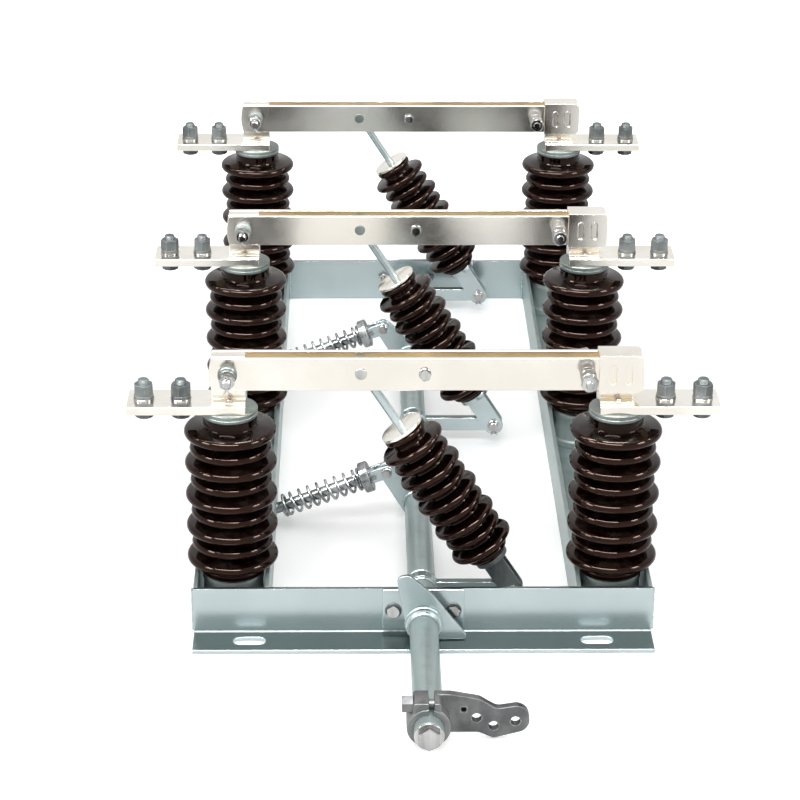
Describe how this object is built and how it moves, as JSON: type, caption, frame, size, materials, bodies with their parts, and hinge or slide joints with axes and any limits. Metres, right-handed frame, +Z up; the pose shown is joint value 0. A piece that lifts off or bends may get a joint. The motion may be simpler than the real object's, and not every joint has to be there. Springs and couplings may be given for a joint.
{
  "type": "three-pole substation disconnect switch",
  "caption": "Outdoor three-pole disconnect switch: porcelain posts on a steel frame, hinged blades lifted by ribbed pull rods from a cranked shaft.",
  "frame": {"origin": "centre of the four fixing slots, on the underside of the frame", "axes": "+X from the hinge posts to the contact posts, +Y along the operating shaft away from its lever, +Z up; blades closed"},
  "size_m": [0.8, 1.622, 0.391],
  "materials": {
    "galvanised": "hot-dip galvanised, satin grey",
    "porcelain": "dark brown glaze",
    "base_casting": "dark grey casting",
    "cap_metal": "satin grey",
    "dark_bolts": "dark zinc",
    "bright_bolts": "bright plated",
    "cast_lever": "dark grey casting",
    "tinned_copper": "tinned, soft sheen",
    "spring_steel": "plated spring wire"
  },
  "bodies": {
    "frame": {"front_angle": "galvanised", "rear_angle": "galvanised", "hinge_channel": "galvanised", "contact_channel": "galvanised", "front_bearing": "galvanised", "rear_bearing": "galvanised", "hinge_posts": "porcelain", "contact_posts": "porcelain", "post_bases": "base_casting", "post_caps": "cap_metal", "terminal_bolts": "dark_bolts", "hinge_terminal_1": "tinned_copper", "contact_terminal_1": "tinned_copper", "hinge_terminal_2": "tinned_copper", "contact_terminal_2": "tinned_copper", "hinge_terminal_3": "tinned_copper", "contact_terminal_3": "tinned_copper"},
    "shaft_group": {"shaft": "galvanised", "crank_arms": "galvanised", "spring_levers": "galvanised", "stop_plate": "galvanised", "operating_lever": "cast_lever", "lever_clamp_bolt": "cast_lever"},
    "blade_group_1": {"blade_1": "tinned_copper", "blade_cover_1": "tinned_copper", "blade_bolts_1": "bright_bolts"},
    "pull_group_1": {"pull_insulator_1": "porcelain", "pull_fittings_1": "galvanised"},
    "blade_group_2": {"blade_2": "tinned_copper", "blade_cover_2": "tinned_copper", "blade_bolts_2": "bright_bolts"},
    "pull_group_2": {"pull_insulator_2": "porcelain", "pull_fittings_2": "galvanised"},
    "blade_group_3": {"blade_3": "tinned_copper", "blade_cover_3": "tinned_copper", "blade_bolts_3": "bright_bolts"},
    "pull_group_3": {"pull_insulator_3": "porcelain", "pull_fittings_3": "galvanised"},
    "spring_group_1": {"spring_rod_1": "galvanised", "coil_spring_1": "spring_steel"},
    "spring_group_2": {"spring_rod_2": "galvanised", "coil_spring_2": "spring_steel"}
  },
  "joints": [
    {"name": "shaft_turn", "type": "hinge", "parent": "frame", "child": "shaft_group", "pos_m": [0, 0, 0.032], "axis": [0, -1, 0], "range_deg": [0, 80]},
    {"name": "blade_1_swing", "type": "hinge", "parent": "frame", "child": "blade_group_1", "pos_m": [-0.264, -0.543, 0.3635], "axis": [0, -1, 0], "range_deg": [0, 53.43]},
    {"name": "pull_1_swing", "type": "hinge", "parent": "blade_group_1", "child": "pull_group_1", "pos_m": [-0.085, -0.543, 0.3645], "axis": [0, -1, 0], "range_deg": [-58.76, 0]},
    {"name": "blade_2_swing", "type": "hinge", "parent": "frame", "child": "blade_group_2", "pos_m": [-0.264, 0.007, 0.3635], "axis": [0, -1, 0], "range_deg": [0, 53.43]},
    {"name": "pull_2_swing", "type": "hinge", "parent": "blade_group_2", "child": "pull_group_2", "pos_m": [-0.085, 0.007, 0.3645], "axis": [0, -1, 0], "range_deg": [-58.76, 0]},
    {"name": "blade_3_swing", "type": "hinge", "parent": "frame", "child": "blade_group_3", "pos_m": [-0.264, 0.557, 0.3635], "axis": [0, -1, 0], "range_deg": [0, 53.43]},
    {"name": "pull_3_swing", "type": "hinge", "parent": "blade_group_3", "child": "pull_group_3", "pos_m": [-0.085, 0.557, 0.3645], "axis": [0, -1, 0], "range_deg": [-58.76, 0]},
    {"name": "spring_1_swing", "type": "hinge", "parent": "shaft_group", "child": "spring_group_1", "pos_m": [-0.04596, -0.278, 0.08677], "axis": [0, -1, 0], "range_deg": [-111.85, 0], "deforming": ["coil_spring_1"]},
    {"name": "spring_2_swing", "type": "hinge", "parent": "shaft_group", "child": "spring_group_2", "pos_m": [-0.04596, 0.272, 0.08677], "axis": [0, -1, 0], "range_deg": [-111.85, 0], "deforming": ["coil_spring_2"]}
  ],
  "couplings": [
    {"joint": "blade_1_swing", "follows": "shaft_turn", "ratio": 0.66773},
    {"joint": "pull_1_swing", "follows": "shaft_turn", "ratio": -0.7344},
    {"joint": "blade_2_swing", "follows": "shaft_turn", "ratio": 0.66773},
    {"joint": "pull_2_swing", "follows": "shaft_turn", "ratio": -0.7344},
    {"joint": "blade_3_swing", "follows": "shaft_turn", "ratio": 0.66773},
    {"joint": "pull_3_swing", "follows": "shaft_turn", "ratio": -0.7344},
    {"joint": "spring_1_swing", "follows": "shaft_turn", "ratio": -1.398},
    {"joint": "spring_2_swing", "follows": "shaft_turn", "ratio": -1.398}
  ]
}
